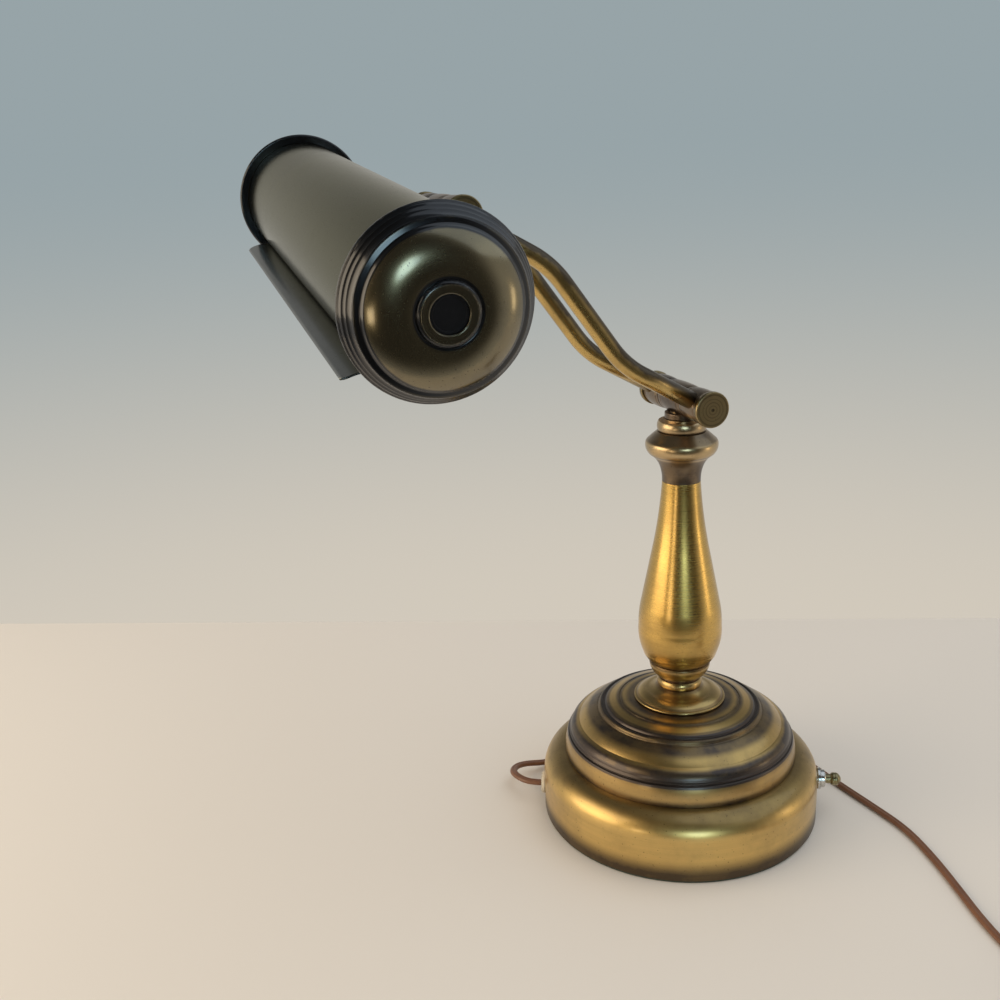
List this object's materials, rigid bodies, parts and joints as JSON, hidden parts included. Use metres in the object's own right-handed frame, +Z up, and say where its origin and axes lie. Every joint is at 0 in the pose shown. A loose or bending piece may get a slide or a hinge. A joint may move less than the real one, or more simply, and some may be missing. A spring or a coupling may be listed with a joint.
{
  "type": "piano lamp",
  "caption": "Weighted round base and turned column carrying a tilting, swivelling rod arm and a long tubular shade with a light slot underneath, push switch in the base.",
  "frame": {"origin": "centre of the base's underside, on the surface the lamp stands on", "axes": "+Z up along the column; -Y outward along the arm, from the column to the shade; X along the shade, +X towards its lower end"},
  "size_m": [0.4485, 0.4085, 0.4045],
  "materials": {
    "felt": "green-grey felt",
    "golden_brass": "brushed antique brass with brown patina in the grooves",
    "dark_brass": "dark brown antiqued brass, glossy",
    "shade_brass": "glossy grey-olive antiqued brass",
    "cap_brass": "dark olive antiqued brass, lacquered",
    "lip_metal": "glossy dark grey-green",
    "knob_brass": "olive brass with lathe rings",
    "nickel": "nickel plate",
    "button_brass": "polished brass",
    "zinc": "zinc-plated steel",
    "iron": "black painted cast iron",
    "phenolic": "black phenolic",
    "boss_black": "gloss black",
    "bulb_glass": "clear glass",
    "bulb_metal": "satin",
    "bushing_cream": "cream moulded plastic",
    "cord_brown": "brown flexible plastic",
    "blade_brass": "plain brass"
  },
  "bodies": {
    "base": {"base_felt": "felt", "base_drum": "golden_brass", "base_weight": "iron", "base_dome": "golden_brass", "saucer": "golden_brass", "column_foot": "golden_brass", "column_vase": "golden_brass", "column_cup": "golden_brass", "column_ring": "golden_brass", "center_pipe": "zinc", "pipe_washer": "zinc", "pipe_nut": "zinc", "swivel_washer": "dark_brass", "swivel_collar": "dark_brass", "switch_body": "phenolic", "switch_bush": "nickel", "switch_nut": "nickel", "cord_bushing": "bushing_cream", "power_cord": "cord_brown", "cord_coil": "cord_brown", "coil_tie": "cord_brown", "power_cord_tail": "cord_brown", "plug_body": "cord_brown", "plug_blade_left": "blade_brass", "plug_blade_right": "blade_brass"},
    "button": {"switch_button": "button_brass"},
    "swivel": {"lower_block": "dark_brass"},
    "arm": {"lower_barrel_near": "dark_brass", "lower_barrel_far": "dark_brass", "lower_knob_near": "knob_brass", "lower_knob_far": "knob_brass", "lower_bolt": "zinc", "arm_rod_near": "dark_brass", "arm_rod_far": "dark_brass", "upper_barrel_near": "dark_brass", "upper_barrel_far": "dark_brass", "upper_knob_near": "knob_brass", "upper_knob_far": "knob_brass", "upper_bolt": "zinc"},
    "head": {"upper_block": "dark_brass", "shade_nipple": "zinc", "nipple_nut": "zinc"},
    "shade": {"outer_saddle": "dark_brass", "inner_saddle": "dark_brass", "shade_tube": "shade_brass", "visor": "lip_metal", "end_cap_near": "cap_brass", "end_cap_far": "cap_brass", "cap_button_near": "boss_black", "cap_button_far": "boss_black", "socket_bracket": "zinc", "lamp_socket": "phenolic", "bulb_cap": "bulb_metal", "bulb_glass": "bulb_glass"}
  },
  "joints": [
    {"name": "column_swivel", "type": "hinge", "parent": "base", "child": "swivel", "pos_m": [0, 0, 0.25], "axis": [0, 0, 1], "range_deg": [-165, 165]},
    {"name": "arm_tilt", "type": "hinge", "parent": "swivel", "child": "arm", "pos_m": [0, 0, 0.2559], "axis": [1, 0, 0], "range_deg": [-40, 30]},
    {"name": "head_tilt", "type": "hinge", "parent": "arm", "child": "head", "pos_m": [0, -0.13164, 0.3623], "axis": [1, 0, 0], "range_deg": [-75, 30]},
    {"name": "shade_swivel", "type": "hinge", "parent": "head", "child": "shade", "pos_m": [-0.00129, -0.17688, 0.35252], "axis": [-0.0279, -0.977, -0.2112], "range_deg": [-90, 90]},
    {"name": "switch_push", "type": "slide", "parent": "base", "child": "button", "axis": [-0.4695, -0.8829, 0], "range_m": [0, 0.0018], "stiffness_N_per_m": 900, "springref_m": -0.0015}
  ]
}
